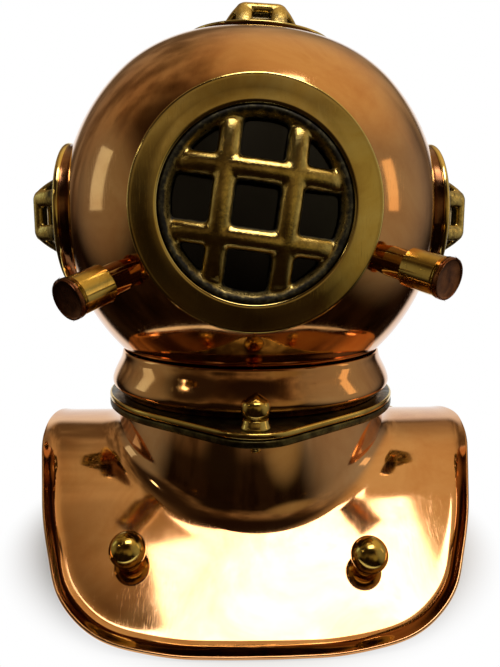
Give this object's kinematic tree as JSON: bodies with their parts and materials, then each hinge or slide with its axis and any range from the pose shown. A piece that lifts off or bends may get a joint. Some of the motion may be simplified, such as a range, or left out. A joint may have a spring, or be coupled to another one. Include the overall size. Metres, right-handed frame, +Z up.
{
  "type": "diving_helmet",
  "caption": "Small copper and brass hard-hat diving helmet: guarded windows, capped pipes and a bonnet that lifts off its corselet once its finial nuts are undone",
  "frame": {"origin": "the middle of the helmet's footprint, at the height of the surface that it stands on", "axes": "+X to the viewer's right as one faces the helmet, -Y out of the front window, +Z up"},
  "size_m": [0.1484, 0.1558, 0.177],
  "materials": {
    "copper_sheet": "polished copper sheet, tarnished in the corners",
    "turned_brass": "turned and buffed brass",
    "cast_brass": "sand cast brass, filed, with green oxide",
    "window_glass": "clear flat glass over a dark inside"
  },
  "bodies": {
    "corselet": {"corselet_shell": "copper_sheet", "corselet_flange": "turned_brass", "front_stud": "turned_brass", "rear_stud": "turned_brass", "ball_stud_nuts": "turned_brass", "front_left_ball_stud": "turned_brass", "front_right_ball_stud": "turned_brass", "rear_left_ball_stud": "turned_brass", "rear_right_ball_stud": "turned_brass"},
    "bonnet": {"bonnet_shell": "copper_sheet", "neck_collar": "copper_sheet", "bonnet_flange": "turned_brass", "left_pipe_tube": "copper_sheet", "left_pipe_cap": "copper_sheet", "left_gooseneck": "copper_sheet", "left_pipe_sleeve": "turned_brass", "left_gooseneck_collar": "turned_brass", "left_gooseneck_cap": "turned_brass", "right_pipe_tube": "copper_sheet", "right_pipe_cap": "copper_sheet", "right_gooseneck": "copper_sheet", "right_pipe_sleeve": "turned_brass", "right_gooseneck_collar": "turned_brass", "right_gooseneck_cap": "turned_brass", "front_window_ring": "turned_brass", "front_glass_retainer": "turned_brass", "front_window_guard": "cast_brass", "front_window_glass": "window_glass", "left_window_ring": "turned_brass", "left_glass_retainer": "turned_brass", "left_window_guard": "cast_brass", "left_window_glass": "window_glass", "right_window_ring": "turned_brass", "right_glass_retainer": "turned_brass", "right_window_guard": "cast_brass", "right_window_glass": "window_glass", "top_window_ring": "turned_brass", "top_glass_retainer": "turned_brass", "top_window_guard": "cast_brass", "top_window_glass": "window_glass"},
    "front_washer": {"front_washer": "turned_brass"},
    "front_nut": {"front_finial_nut": "turned_brass"},
    "rear_washer": {"rear_washer": "turned_brass"},
    "rear_nut": {"rear_finial_nut": "turned_brass"}
  },
  "joints": [
    {"name": "bonnet_lift", "type": "slide", "parent": "corselet", "child": "bonnet", "axis": [0, 0, 1], "range_m": [0, 0.08]},
    {"name": "front_nut_rise", "type": "slide", "parent": "bonnet", "child": "front_washer", "axis": [0, 0, 1], "range_m": [0, 0.0045]},
    {"name": "front_nut_spin", "type": "hinge", "parent": "front_washer", "child": "front_nut", "pos_m": [0, -0.0532, 0.0544], "axis": [0, 0, 1], "range_deg": [0, 3240]},
    {"name": "rear_nut_rise", "type": "slide", "parent": "bonnet", "child": "rear_washer", "axis": [0, 0, 1], "range_m": [0, 0.0045]},
    {"name": "rear_nut_spin", "type": "hinge", "parent": "rear_washer", "child": "rear_nut", "pos_m": [0, 0.0532, 0.0544], "axis": [0, 0, 1], "range_deg": [0, 3240]}
  ],
  "couplings": [
    {"joint": "front_nut_spin", "follows": "front_nut_rise", "rad_per_m": 12566},
    {"joint": "rear_nut_spin", "follows": "rear_nut_rise", "rad_per_m": 12566}
  ]
}
